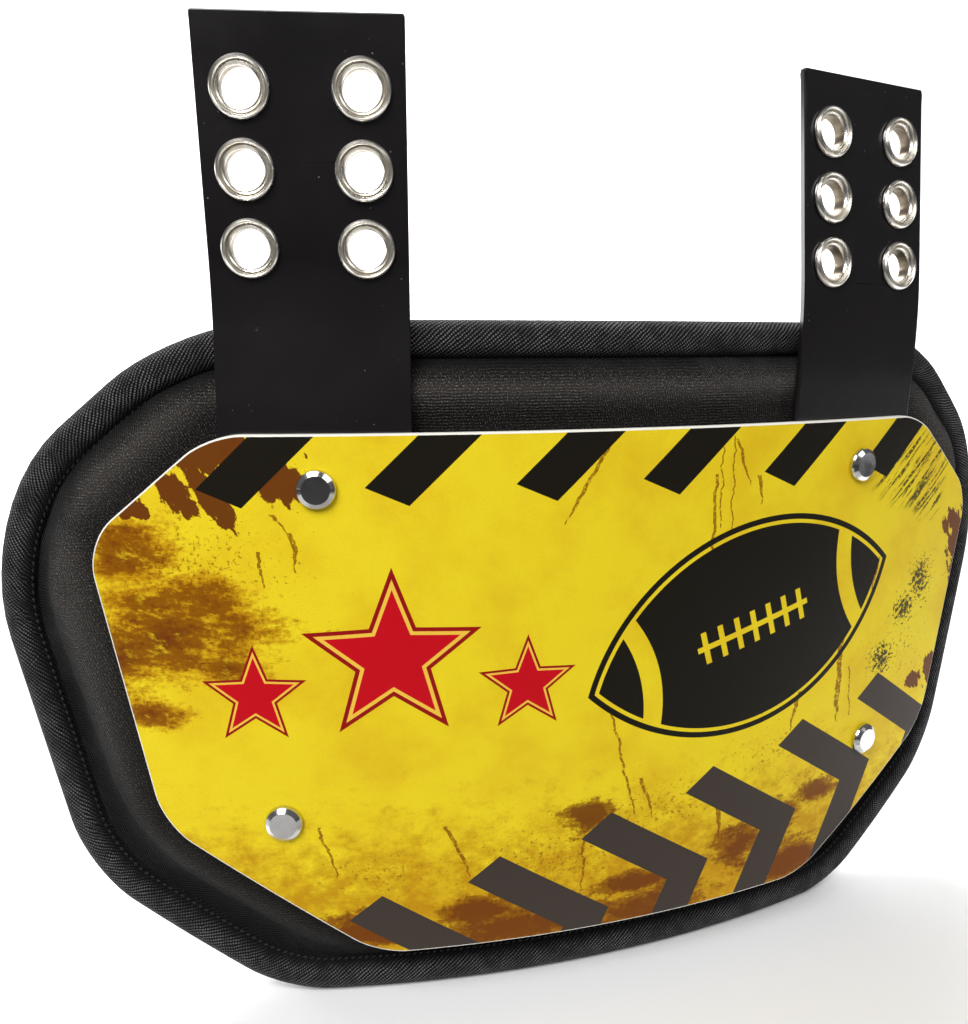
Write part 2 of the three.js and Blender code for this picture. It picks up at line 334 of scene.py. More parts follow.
draft = add_object("pad_draft", cushion, [])
remesh = draft.modifiers.new("voxels", "REMESH")
remesh.mode = "VOXEL"
remesh.voxel_size = VOXEL
moulded = draft.data
draft.data = applied(draft)
draft.modifiers.clear()
bpy.data.meshes.remove(moulded)
at_rest = [v.co.copy() for v in draft.data.vertices]
held_group = draft.vertex_groups.new(name="held")
held = []
for index, place in enumerate(at_rest):
    at_rivet = any(math.dist((place.x, place.z), spot) < RIVET_HOLD for spot in RIVET_PLACES.values())
    if at_rivet or HELD_FROM < place.y < HELD_TO:
        held.append(index)
held_group.add(held, 1.0, "REPLACE")
cloth = draft.modifiers.new("swell", "CLOTH")
cloth.settings.use_pressure = True
cloth.settings.uniform_pressure_force = SWELL_PRESSURE
cloth.settings.vertex_group_mass = "held"
cloth.settings.effector_weights.gravity = 0
for step in range(1, SWELL_FRAMES + 1):
    bpy.context.scene.frame_set(step)
swelled = applied(draft)
draft.modifiers.clear()
draft.vertex_groups.clear()
draft.data = swelled
bpy.context.scene.frame_set(1)

pad_bm = bmesh.new()
pad_bm.from_mesh(draft.data)
bpy.data.objects.remove(draft)
for vert, start in zip(pad_bm.verts, at_rest):
    move = vert.co - start
    if move.length > SWELL_CAP:
        vert.co = start + move.normalized() * SWELL_CAP
    if start.y < FRONT_HALF:
        vert.co.y = max(vert.co.y, CUSHION_FRONT)
bmesh.ops.smooth_vert(
    pad_bm, verts=pad_bm.verts[:], factor=0.5, use_axis_x=True, use_axis_y=True, use_axis_z=True)
bmesh.ops.subdivide_edges(pad_bm, edges=pad_bm.edges[:], cuts=1, use_grid_fill=True, smooth=0.6)
# The crest: 1 on the cushion's front face, 0 at its middle depth, at most BACK_CREST on its back. The
# knit's painted shade and painted highlight follow it.
crest = pad_bm.verts.layers.float.new("crest")
for vert in pad_bm.verts:
    from_back = (vert.co.y - PAD_MIDDLE) / (CUSHION_BACK - PAD_MIDDLE)
    for spot in RIVET_PLACES.values():
        away = math.dist((vert.co.x, vert.co.z), spot)
        if vert.co.y > DIMPLE_FLOOR and away < DIMPLE_RADIUS:
            ease = eased((away - RIVET_HOLD) / (DIMPLE_RADIUS - RIVET_HOLD))
            vert.co.y = DIMPLE_FLOOR + (vert.co.y - DIMPLE_FLOOR) * ease
    if vert.co.y < FLANGE_FRONT:
        vert.co.y += PRESS_DEPTH * eased(1 - outside_plate(vert.co.x, vert.co.z) / PRESS_BAND)
    from_front = (PAD_MIDDLE - vert.co.y) / (PAD_MIDDLE - CUSHION_FRONT)
    vert[crest] = max(from_front, BACK_CREST * min(from_back, 1.0))
lay_flat_map(pad_bm, "knit")
bend(pad_bm)


def wire(tree, socket, value):
    """Sets a socket to a number or colour, or links another socket to it."""
    if isinstance(value, bpy.types.NodeSocket):
        tree.links.new(value, socket)
    else:
        socket.default_value = value


def sums(tree, operation, *values, clamp=False):
    """One arithmetic node."""
    node = tree.nodes.new("ShaderNodeMath")
    node.operation = operation
    node.use_clamp = clamp
    for socket, value in zip(node.inputs, values):
        wire(tree, socket, value)
    return node.outputs[0]


def blend(tree, amount, under, over):
    """One colour laid over another by an amount."""
    node = tree.nodes.new("ShaderNodeMix")
    node.data_type = "RGBA"
    wire(tree, node.inputs["Factor"], amount)
    wire(tree, node.inputs["A"], under)
    wire(tree, node.inputs["B"], over)
    return node.outputs["Result"]


def ramp(tree, value, low, high, to_low=0.0, to_high=1.0):
    """A smooth step of a value between two limits."""
    node = tree.nodes.new("ShaderNodeMapRange")
    node.interpolation_type = "SMOOTHSTEP"
    wire(tree, node.inputs["Value"], value)
    node.inputs["From Min"].default_value = low
    node.inputs["From Max"].default_value = high
    node.inputs["To Min"].default_value = to_low
    node.inputs["To Max"].default_value = to_high
    return node.outputs["Result"]


def flat_places(tree, map_name):
    """The flat pattern's own places in millimetres: a vector, and its along and height parts."""
    node = tree.nodes.new("ShaderNodeUVMap")
    node.uv_map = map_name
    scale = tree.nodes.new("ShaderNodeVectorMath")
    scale.operation = "SCALE"
    scale.inputs["Scale"].default_value = 1000
    tree.links.new(node.outputs["UV"], scale.inputs[0])
    split = tree.nodes.new("ShaderNodeSeparateXYZ")
    tree.links.new(scale.outputs[0], split.inputs[0])
    return scale.outputs[0], split.outputs["X"], split.outputs["Y"]


def noise(tree, vector, scale, detail=3.0, roughness=0.55, stretch=(1, 1, 1), turn=0.0, shift=(0, 0, 0)):
    """Cloudy noise in the pattern's millimetres, stretched or turned where asked."""
    mapping = tree.nodes.new("ShaderNodeMapping")
    mapping.vector_type = "TEXTURE"
    mapping.inputs["Location"].default_value = shift
    mapping.inputs["Rotation"].default_value = (0, 0, turn)
    mapping.inputs["Scale"].default_value = stretch
    tree.links.new(vector, mapping.inputs["Vector"])
    node = tree.nodes.new("ShaderNodeTexNoise")
    tree.links.new(mapping.outputs["Vector"], node.inputs["Vector"])
    node.inputs["Scale"].default_value = scale
    node.inputs["Detail"].default_value = detail
    node.inputs["Roughness"].default_value = roughness
    return node.outputs["Fac"]


def bump(tree, shader, height, strength, distance):
    """Low relief from a height."""
    node = tree.nodes.new("ShaderNodeBump")
    node.inputs["Strength"].default_value = strength
    node.inputs["Distance"].default_value = distance
    tree.links.new(height, node.inputs["Height"])
    tree.links.new(node.outputs["Normal"], shader.inputs["Normal"])


def ribs(tree, along, height, pitch, lean):
    """Fine parallel ribs from 0 to 1: one rib every pitch, leaning by a slope."""
    slanted = sums(tree, "MULTIPLY_ADD", height, lean, along)
    wave = sums(tree, "SINE", sums(tree, "MULTIPLY", slanted, 2 * math.pi / pitch))
    return sums(tree, "MULTIPLY_ADD", wave, 0.5, 0.5)


knit, knit_tree, knit_shader = new_material("pad_knit")
knit_place, knit_along, knit_height = flat_places(knit_tree, "knit")
knit_drift = noise(knit_tree, knit_place, 0.35, detail=2)
knit_along = sums(knit_tree, "MULTIPLY_ADD", knit_drift, 1.3, knit_along)
knit_ribs = ribs(knit_tree, knit_along, knit_height, 0.78, 0.4)
knit_level = sums(knit_tree, "MULTIPLY_ADD", knit_drift, 0.8, knit_height)
knit_rows = ribs(knit_tree, knit_level, knit_along, 0.86, 0.0)
knit_zones = noise(knit_tree, knit_place, 0.045, detail=3)
knit_ridge = blend(knit_tree, ramp(knit_tree, knit_zones, 0.38, 0.62, 0.1, 0.8), knit_ribs, knit_rows)
knit_fuzz = noise(knit_tree, knit_place, 2.4, detail=3, roughness=0.7)
knit_flecks = ramp(knit_tree, knit_fuzz, 0.48, 0.68)
knit_lit = sums(knit_tree, "MULTIPLY", knit_ridge, knit_flecks)
crest_node = knit_tree.nodes.new("ShaderNodeAttribute")
crest_node.attribute_name = "crest"
# Painted shade: the knit's flecks are dimmer where it lies deeper, in the groove at the rim, in the dip
# round the plate and on the back.
knit_depth_shade = ramp(knit_tree, crest_node.outputs["Fac"], 0.42, 0.98)
knit_lit = sums(knit_tree, "MULTIPLY", knit_lit, knit_depth_shade)
# Painted shade: the knit's flecks and crest band dim towards the pad's bottom, to 0.3 at 140 mm below the
# plate's top.
knit_lower_shade = ramp(knit_tree, knit_height, -140, -20, 0.3, 1.0)
knit_lit = sums(knit_tree, "MULTIPLY", knit_lit, knit_lower_shade)
# Painted shade in the ground colour: near black in the groove and the dip, brighter on the front face.
knit_colour = blend(knit_tree, knit_depth_shade, linear(6, 5, 5), linear(18, 16, 15))
# Painted highlight: a lighter band of knit on the crest of the front face, fading towards the bottom.
knit_crest_highlight = sums(knit_tree, "MULTIPLY", ramp(knit_tree, crest_node.outputs["Fac"], 0.76, 1.0), knit_lower_shade)
knit_colour = blend(knit_tree, knit_crest_highlight, knit_colour, linear(50, 47, 45))
knit_colour = blend(knit_tree, knit_lit, knit_colour, linear(140, 134, 128))
wire(knit_tree, knit_shader.inputs["Base Color"], knit_colour)
knit_shader.inputs["Roughness"].default_value = 0.85
knit_shader.inputs["Specular IOR Level"].default_value = 0.12
knit_shader.inputs["Sheen Weight"].default_value = 0.05
knit_shader.inputs["Sheen Roughness"].default_value = 0.5
bump(knit_tree, knit_shader, sums(knit_tree, "MULTIPLY_ADD", knit_fuzz, 0.6, knit_ridge), 0.7, 0.0004)

pad = add_object("pad_cushion", pad_bm, [knit])
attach(pad, "root")
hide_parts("pad")

# Edge binding.
# A black twill tape folded over the rim of the pad and sewn down, so that it stands as a round roll.
# Its front hem is held by a close row of stitches beside the groove.
ROLL_DEPTH = 0.0174
ROLL_RADIUS = 0.0063
ROLL_WIDTH = 0.0112
ROLL_ROUND = 0.0050
TAPE_STEP = 0.004

tape = flat_sheet(PAD_CORNERS, ROLL_DEPTH - ROLL_RADIUS)
for edge in tape.edges[:]:
    cuts = int(edge.calc_length() / TAPE_STEP)
    if cuts:
        bmesh.ops.subdivide_edges(tape, edges=[edge], cuts=cuts)
ring = bmesh.ops.inset_region(
    tape, faces=tape.faces[:], thickness=ROLL_WIDTH, use_even_offset=True, use_boundary=True)
middle_faces = [face for face in tape.faces if face not in ring["faces"]]
bmesh.ops.delete(tape, geom=middle_faces, context="FACES")
thicken(tape, 2 * ROLL_RADIUS)
roll_rims = rim_edges(tape, ROLL_DEPTH - ROLL_RADIUS) + rim_edges(tape, ROLL_DEPTH + ROLL_RADIUS)
bmesh.ops.bevel(
    tape, geom=roll_rims, offset=ROLL_ROUND, segments=6, profile=0.5, affect="EDGES", material=-1)

path_bm = flat_sheet(PAD_CORNERS, 0)
path_face = path_bm.faces[:][0]
PAD_PATH = [Vector((v.co.x, v.co.z)) for v in path_face.verts]
path_bm.free()


def along_rim(place):
    """How far round the pad's rim a flat place lies, how far inside it, and the rim's whole length."""
    best = (1e9, 0.0)
    run = 0.0
    for start, end in zip(PAD_PATH, PAD_PATH[1:] + PAD_PATH[:1]):
        leg = end - start
        share = max(0.0, min(1.0, (place - start).dot(leg) / leg.length_squared))
        gap = (start + leg * share - place).length
        if gap < best[0]:
            best = (gap, run + share * leg.length)
        run += leg.length
    return best[1], best[0], run


tape_map = tape.loops.layers.uv.new("twill")
tape_places = {}
for vert in tape.verts:
    run, inset, rim_length = along_rim(Vector((vert.co.x, vert.co.z)))
    turn = math.atan2(ROLL_DEPTH - vert.co.y, ROLL_RADIUS - inset)
    tape_places[vert] = (run, turn * ROLL_RADIUS)
for face in tape.faces:
    runs = [tape_places[loop.vert][0] for loop in face.loops]
    for loop, run in zip(face.loops, runs):
        crossed = max(runs) - run > rim_length / 2
        loop[tape_map].uv = (run + rim_length if crossed else run, tape_places[loop.vert][1])
bend(tape)

twill, twill_tree, twill_shader = new_material("binding_twill")
twill_place, twill_along, twill_across = flat_places(twill_tree, "twill")
twill_drift = noise(twill_tree, twill_place, 0.25, detail=2)
twill_along = sums(twill_tree, "MULTIPLY_ADD", twill_drift, 1.6, twill_along)
twill_ribs = ribs(twill_tree, twill_along, twill_across, 1.55, 1.25)
twill_dots = ribs(twill_tree, twill_along, twill_across, 0.95, -0.7)
twill_dots = sums(twill_tree, "MULTIPLY_ADD", twill_dots, 0.6, 0.4)
twill_grain = sums(twill_tree, "MULTIPLY", twill_ribs, twill_dots)
twill_wear = noise(twill_tree, twill_place, 0.14, detail=5, roughness=0.65)
twill_lit = sums(
    twill_tree, "MULTIPLY", ramp(twill_tree, twill_grain, 0.3, 0.85),
    ramp(twill_tree, twill_wear, 0.34, 0.66, 0.3, 1.0))
# Painted shade: the light threads dim towards the tape's inner side, down into the groove.
twill_lit = sums(twill_tree, "MULTIPLY", twill_lit, ramp(twill_tree, twill_across, 11.0, 15.0, 1.0, 0.1))
twill_colour = blend(twill_tree, twill_lit, linear(8, 7, 9), linear(126, 123, 126))
wire(twill_tree, twill_shader.inputs["Base Color"], twill_colour)
twill_shader.inputs["Roughness"].default_value = 0.72
twill_shader.inputs["Specular IOR Level"].default_value = 0.12
twill_shader.inputs["Sheen Weight"].default_value = 0.03
bump(twill_tree, twill_shader, twill_grain, 0.8, 0.0005)

binding = add_object("edge_binding_roll", tape, [twill])
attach(binding, "root")
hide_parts("edge_binding")

# Hem stitches.
# Close dark stitches that hold the tape's front hem down, a little slanted.
# They run all round the inner side of the roll.
STITCH_PITCH = 0.0022
STITCH_INSET = 0.0107
STITCH_DEPTH = 0.0139
STITCH_HALF = (0.0009, 0.0004, 0.00036)
STITCH_LEAN = math.radians(24)

hem = flat_sheet(PAD_CORNERS, STITCH_DEPTH)
hem_rim = bmesh.ops.inset_region(
    hem, faces=hem.faces[:], thickness=STITCH_INSET, use_even_offset=True, use_boundary=True)
hem_face = next(face for face in hem.faces if face not in hem_rim["faces"])
HEM_PATH = [vert.co.copy() for vert in hem_face.verts]
hem.free()

stitches = bmesh.new()
left_over = 0.0
for start, end in zip(HEM_PATH, HEM_PATH[1:] + HEM_PATH[:1]):
    leg = end - start
    heading = math.atan2(leg.z, leg.x)
    reached = left_over
    while reached < leg.length:
        centre = start + leg * (reached / leg.length)
        lie = Matrix.Rotation(-heading - STITCH_LEAN, 4, "Y") @ Matrix.Diagonal((*STITCH_HALF, 1))
        lie = Matrix.Translation(centre) @ lie
        bmesh.ops.create_icosphere(stitches, subdivisions=1, radius=1, matrix=lie)
        reached += STITCH_PITCH
    left_over = reached - leg.length
bend(stitches)


def solid_places(tree):
    """A piece's own places in metres, for a finish that runs through the material."""
    return tree.nodes.new("ShaderNodeTexCoord").outputs["Object"]


thread, thread_tree, thread_shader = new_material("hem_thread")
thread_coord = solid_places(thread_tree)
thread_fuzz = noise(thread_tree, thread_coord, 900, detail=2)
wire(thread_tree, thread_shader.inputs["Base Color"],
     blend(thread_tree, thread_fuzz, linear(9, 8, 9), linear(28, 27, 28)))
thread_shader.inputs["Roughness"].default_value = 0.6
bump(thread_tree, thread_shader, thread_fuzz, 0.5, 0.0002)

hem_stitches = add_object("hem_stitches", stitches, [thread])
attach(hem_stitches, "root")

# Straps.
# Two stiff strips of glossy black plastic, punched for their eyelets. They pass down behind the plate,
# where the upper rivets hold them, and each has taken a slight bend of its own.
STRAP_ALONG = 0.0852
STRAP_HALF = 0.0254
STRAP_FOOT = -0.034
STRAP_HEAD = 0.1004
STRAP_DEPTH = 0.0041
STRAP_THICKNESS = 0.002
STRAP_CORNER = 0.0007
STRAP_EDGE = 0.00045
SLICE_STEP = 0.002
SLICE_LEVELS = range(-16, 50)
BEND_WINDOW = [k * 0.001 for k in range(-8, 9)]
STRAP_BENDS = {
    # height above the plate's top, how far the strap stands forward there
    "left": [(-0.034, 0), (0.003, 0), (0.018, -0.0013), (0.036, -0.0023), (0.1004, 0.0036)],
    "right": [(-0.034, 0), (0.003, 0), (0.018, 0.0006), (0.036, 0.0003), (0.1004, -0.006)],
}
EYELET_ACROSS = 0.0146
EYELET_HEIGHTS = (0.0836, 0.0651, 0.0466)
PUNCH_RADIUS = 0.0061


def forward_at(side, height):
    """How far a strap stands forward at a height, on the straight runs of its table."""
    rows = STRAP_BENDS[side]
    for (low, low_forward), (high, high_forward) in zip(rows, rows[1:]):
        if height <= high or high == rows[-1][0]:
            share = (height - low) / (high - low)
            return low_forward + (high_forward - low_forward) * share
    return 0.0


def strap_frame(side):
    """The place of a strap on the bent plate: X across it, Y into the wearer, Z up."""
    along = -STRAP_ALONG if side == "left" else STRAP_ALONG
    return Matrix.Translation(bent(along, 0, 0)) @ Matrix.Rotation(along / BEND_RADIUS, 4, "Z")


def eyelet_frame(side, across, height):
    """The place of an eyelet, on the strap's front and square to it."""
    rows = STRAP_BENDS[side]
    slope = (rows[-1][1] - rows[-2][1]) / (rows[-1][0] - rows[-2][0])
    on_strap = Matrix.Translation((across, STRAP_DEPTH - forward_at(side, height), height))
    return strap_frame(side) @ on_strap @ Matrix.Rotation(math.atan(slope), 4, "X")


plastic, plastic_tree, plastic_shader = new_material("strap_plastic")
plastic_coord = solid_places(plastic_tree)
plastic_cloud = noise(plastic_tree, plastic_coord, 35, detail=4)
plastic_dust = noise(plastic_tree, plastic_coord, 900, detail=1, shift=(0.3, 0.1, 0))
plastic_specks = ramp(plastic_tree, plastic_dust, 0.78, 0.84)
plastic_colour = blend(plastic_tree, plastic_cloud, linear(17, 15, 16), linear(26, 23, 25))
plastic_colour = blend(plastic_tree, plastic_specks, plastic_colour, linear(120, 118, 116))
wire(plastic_tree, plastic_shader.inputs["Base Color"], plastic_colour)
plastic_gloss = ramp(plastic_tree, plastic_cloud, 0.3, 0.7, 0.15, 0.22)
wire(plastic_tree, plastic_shader.inputs["Roughness"], plastic_gloss)
bump(plastic_tree, plastic_shader, plastic_cloud, 0.12, 0.0008)

for side in ("left", "right"):
    strip = bmesh.new()
    corners = [
        (-STRAP_HALF, STRAP_FOOT), (STRAP_HALF, STRAP_FOOT),
        (STRAP_HALF, STRAP_HEAD), (-STRAP_HALF, STRAP_HEAD),
    ]
    strip_verts = [strip.verts.new((across, 0, height)) for across, height in corners]
    for pair in zip(strip_verts, strip_verts[1:] + strip_verts[:1]):
        strip.edges.new(pair)
    bmesh.ops.bevel(
        strip, geom=strip_verts[2:], offset=STRAP_CORNER, segments=3, profile=0.5,
        affect="VERTICES", material=-1)
    for height in EYELET_HEIGHTS:
        for across in (-EYELET_ACROSS, EYELET_ACROSS):
            punch = Matrix.Translation((across, 0, height)) @ Matrix.Rotation(math.pi / 2, 4, "X")
            bmesh.ops.create_circle(strip, cap_ends=False, segments=40, radius=PUNCH_RADIUS, matrix=punch)
    bmesh.ops.triangle_fill(
        strip, use_beauty=True, use_dissolve=False, edges=strip.edges[:], normal=(0, -1, 0))
    for level in SLICE_LEVELS:
        whole = strip.verts[:] + strip.edges[:] + strip.faces[:]
        cut = level * SLICE_STEP + SLICE_STEP / 2
        bmesh.ops.bisect_plane(strip, geom=whole, plane_co=(0, 0, cut), plane_no=(0, 0, 1), dist=1e-6)
    thicken(strip, STRAP_THICKNESS)
    strip_rims = rim_edges(strip, 0) + rim_edges(strip, STRAP_THICKNESS)
    bmesh.ops.bevel(
        strip, geom=strip_rims, offset=STRAP_EDGE, segments=2, profile=0.5,
        affect="EDGES", material=-1)
    for vert in strip.verts:
        window = [forward_at(side, vert.co.z + shift) for shift in BEND_WINDOW]
        vert.co.y += STRAP_DEPTH - sum(window) / len(window)
    bmesh.ops.transform(strip, matrix=strap_frame(side), verts=strip.verts[:])
    strap = add_object(f"strap_{side}_strip", strip, [plastic], crease=math.radians(12))
    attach(strap, "root")
    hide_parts(f"strap_{side}")

# Eyelets.
# Nickel-plated steel, rolled over at the front into a domed rim with the barrel's own lip inside it,
# and set over a flat washer at the back.
EYELET_PROFILE = [
    # radius, distance in front of the strap
    (0.00475, -0.0030), (0.00475, 0.0002), (0.0050, 0.0008), (0.0054, 0.00105), (0.0057, 0.0008),
    (0.0058, 0.0003), (0.0060, 0.0003), (0.00615, 0.0010), (0.0064, 0.00145), (0.0067, 0.0016),
    (0.0070, 0.0014), (0.00728, 0.0009), (0.00735, 0.0003), (0.0058, 0.0001), (0.0058, -0.0023),
    (0.0071, -0.0023), (0.0071, -0.0030), (0.0069, -0.0032), (0.0053, -0.0032),
]
BARREL_REACH = 0.0049
TURN_STEPS = 48


def turned_piece(profile, closed):
    """A piece turned on its own Y: profile points are a radius and a distance towards the viewer."""
    bm = bmesh.new()
    points = [bm.verts.new((radius, -forward, 0)) for radius, forward in profile]
    links = list(zip(points, points[1:]))
    if closed:
        links.append((points[-1], points[0]))
    edges = [bm.edges.new(pair) for pair in links]
    bmesh.ops.spin(
        bm, geom=points + edges, cent=(0, 0, 0), axis=(0, 1, 0), angle=2 * math.pi,
        steps=TURN_STEPS, use_merge=True)
    bmesh.ops.remove_doubles(bm, verts=bm.verts[:], dist=1e-6)
    bmesh.ops.recalc_face_normals(bm, faces=bm.faces[:])
    return bm


nickel, nickel_tree, nickel_shader = new_material("eyelet_nickel")
nickel_coord = solid_places(nickel_tree)
nickel_tarnish = noise(nickel_tree, nickel_coord, 140, detail=2)
nickel_colour = blend(
    nickel_tree, ramp(nickel_tree, nickel_tarnish, 0.35, 0.7), linear(250, 246, 238), linear(236, 230, 218))
wire(nickel_tree, nickel_shader.inputs["Base Color"], nickel_colour)
nickel_shader.inputs["Metallic"].default_value = 1.0
wire(nickel_tree, nickel_shader.inputs["Roughness"], ramp(nickel_tree, nickel_tarnish, 0.3, 0.7, 0.26, 0.3))

barrel, barrel_tree, barrel_shader = new_material("eyelet_barrel")
barrel_coord = solid_places(barrel_tree)
barrel_tarnish = noise(barrel_tree, barrel_coord, 420, detail=4)
wire(barrel_tree, barrel_shader.inputs["Base Color"],
     blend(barrel_tree, barrel_tarnish, linear(158, 146, 128), linear(104, 92, 78)))
barrel_shader.inputs["Metallic"].default_value = 1.0
wire(barrel_tree, barrel_shader.inputs["Roughness"], ramp(barrel_tree, barrel_tarnish, 0.3, 0.7, 0.3, 0.45))

for side, inwards in (("left", 1), ("right", -1)):
    for row, height in enumerate(EYELET_HEIGHTS, start=1):
        for column, across in (("inner", inwards * EYELET_ACROSS), ("outer", -inwards * EYELET_ACROSS)):
            ring_bm = turned_piece(EYELET_PROFILE, closed=True)
            for face in ring_bm.faces:
                inside = all(math.hypot(v.co.x, v.co.z) < BARREL_REACH for v in face.verts)
                face.material_index = 1 if inside else 0
            bmesh.ops.transform(ring_bm, matrix=eyelet_frame(side, across, height), verts=ring_bm.verts[:])
            eyelet = add_object(
                f"eyelet_{side}_{column}_{row}_ring", ring_bm, [nickel, barrel], crease=math.radians(50))
            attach(eyelet, "root")
            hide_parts(f"eyelet_{side}_{column}_{row}")

# Plate.
# White plastic sheet, cut to an eight-sided shape with rounded corners, printed on its front and heat-bent.
# The print is warning yellow with black bars, dark chevrons, rust, scuffs, a ball and stars.
# The cut edge stays white.
PLATE_THICKNESS = 0.003
PLATE_REACH = 0.147
PLATE_STRIP = 0.004
PLATE_EDGE = 0.0005

sheet = flat_sheet(PLATE_CORNERS, 0)
slice_upright(sheet, PLATE_REACH, PLATE_STRIP)
thicken(sheet, PLATE_THICKNESS)
plate_rims = rim_edges(sheet, 0) + rim_edges(sheet, PLATE_THICKNESS)
bmesh.ops.bevel(
    sheet, geom=plate_rims, offset=PLATE_EDGE, segments=3, profile=0.5, affect="EDGES", material=-1)
for face in sheet.faces:
    face.material_index = 0 if face.normal.y < -0.99 else 1
lay_flat_map(sheet, "print")
bend(sheet)

PRINT_YELLOW = linear(241, 216, 38)
PRINT_GOLD = linear(229, 192, 32)
PRINT_AMBER = linear(184, 126, 10)
PRINT_BROWN = linear(130, 72, 6)
PRINT_RUST = linear(100, 39, 14)
PRINT_BLACK = linear(28, 25, 19)
PRINT_CHEVRON = linear(66, 58, 53)
PRINT_RED = linear(198, 16, 30)
PRINT_DARK_RED = linear(150, 20, 22)
PRINT_LINE = linear(244, 196, 72)
# Patches of the print, in millimetres: along, height, half width, half height, and the lean to the right
# on the way down.
RUST_PATCHES = [
    (-113, -3, 17, 9, 0), (-123, -14, 5.5, 10, 0.5), (-113, -16, 4.5, 11, 0.6), (-95, -12, 9, 8, 0.3),
    (-134, -20, 6, 3, 0), (145, -49, 9, 17, 0), (139, -38, 7, 5, 0), (134, -92, 6, 7, 0),
    (124, -94, 6, 4, 0),
]
WASH_PATCHES = [
    (-31, -150, 34, 9, 0), (-44, -143, 16, 7, 0), (12, -150, 26, 9, 0), (8, -141, 16, 6, 0),
    (46, -137, 12, 11, 0), (68, -147, 20, 9, 0), (62, -129, 9, 8, 0), (78, -124, 12, 5, 0),
    (-77, -147, 20, 8, 0), (-9, -116, 11, 6, 0),
]
CLOUD_PATCHES = [
    (-126, -54, 34, 16, 0), (-140, -60, 16, 20, 0), (-116, -44, 18, 9, 0), (-139, -31, 20, 12, 0),
    (-110, -64, 12, 8, 0), (-132, -77, 12, 5, 0),
]
SPECK_PATCHES = [
    (-20, -128, 42, 18, 0), (20, -118, 40, 14, 0), (-118, -34, 34, 18, 0), (80, -118, 24, 14, 0),
    (-70, -128, 26, 10, 0), (112, -82, 22, 16, 0), (60, -105, 30, 10, 0),
]
BRUSH_PATCHES = [(112, -18, 24, 15, 0), (122, -30, 10, 8, 0)]
DAB_PATCHES = [(122, -57, 8, 11, 0), (114, -66, 8, 7, 0), (104, -82, 8, 8, 0)]
CRACKS = [
    # along at its top, height of its top and of its foot, lean to the right on the way down, half width
    (29, -14, -42, 0.0, 0.5), (35, -3, -31, 0.0, 0.25), (36, -4, -18, 0.35, 0.5),
    (44, -15, -24, 0.2, 0.7), (83, -70, -101, 0.02, 1.1), (88, -82, -100, 0.12, 0.3),
    (-97, -21, -26, 0.9, 1.0), (-92, -26, -37, 0.1, 0.7), (-101, -31, -41, 0.1, 0.5),
    (-5, -3, -26, -0.55, 0.6), (8, -106, -120, 0.35, 0.6), (-52, -114, -131, 0.45, 0.6),
    (-10, -122, -140, 0.0, 0.4), (56, -81, -92, -0.45, 0.4), (66, -87, -100, -0.25, 0.7),
    (36, -119, -132, 0.1, 0.9), (-2, -84, -118, 0.25, 0.4), (31, -6, -30, 0.0, 0.25),
    (-88, -112, -128, 0.3, 0.4), (98, -46, -60, -0.2, 0.4),
]
CRACK_WOBBLE = 4.0
CRACK_TAPER = 8
CRACK_TIP = 0.2
BAR_STARTS = (-101.7, -57.7, -17.0, 20.1, 60.6, 100.8)
BAR_WIDTH = 17
BAR_SLANT = -1.04
BAR_FOOT = -14.2
BAR_FOOT_SLOPE = -0.30
CHEVRONS = {
    "along": -80.3, "height": -142.3, "pitch": 2.34, "last": 5.5,
    "upper_slope": 0.65, "upper_width": 13.72,
    "lower_slope": -0.45, "lower_width": 13.0, "lower_start": 38.2,
    "end_slope": -0.773, "end_step": 17.36,
}
STARS = [(-104, -72, 15), (-66, -62, 26), (-28, -72, 15)]
STAR_FACING = (0.3505, 0.9366)
STAR_RINGS = [(0, PRINT_DARK_RED), (0.045, PRINT_LINE), (0.085, PRINT_RED)]
BALL = {
    "along": 46, "height": -62, "turn": math.radians(16), "half_length": 58, "half_height": 33,
    "rim_outer": -1.8, "rim_inner": -3.0, "band_from": 34.5, "band_to": 41, "band_bow": -0.012,
    "seam_half": 0.9, "seam_reach": 21,
    "lace_half": 0.95, "lace_length": 5.2, "lace_reach": 19, "lace_pitch": 6,
}

plate_print, ink_tree, ink_shader = new_material("plate_print")
ink_place, ink_along, ink_height = flat_places(ink_tree, "print")


def ink(operation, *values):
    """One arithmetic node of the print."""
    return sums(ink_tree, operation, *values)


def under(value, limit):
    """1 where a value is under a limit, else 0."""
    return ink("LESS_THAN", value, limit)


def both(first, *others):
    """Where all of several masks are 1."""
    for other in others:
        first = ink("MULTIPLY", first, other)
    return first


def either(first, *others):
    """The larger of several masks."""
    for other in others:
        first = ink("MAXIMUM", first, other)
    return first


def distance(across, up):
    """The length of the two legs of a right angle."""
    return ink("SQRT", ink("MULTIPLY_ADD", across, across, ink("MULTIPLY", up, up)))


def patches(rows):
    """A soft field that is 1 at the middle of each patch and falls through 0 at its edge."""
    fields = []
    for along, height, half_width, half_height, lean in rows:
        up = ink("MULTIPLY_ADD", ink_height, 1 / half_height, -height / half_height)
        across = ink("MULTIPLY_ADD", ink_along, 1 / half_width, -along / half_width)
        across = ink("MULTIPLY_ADD", up, lean * half_height / half_width, across)
        fields.append(ink("SUBTRACT", 1.0, distance(across, up)))
    return either(*fields)


def roughened(field, grain, amount):
    """A field whose edge is frayed by noise."""
    return ink("MULTIPLY_ADD", ink("ADD", grain, -0.5), amount, field)


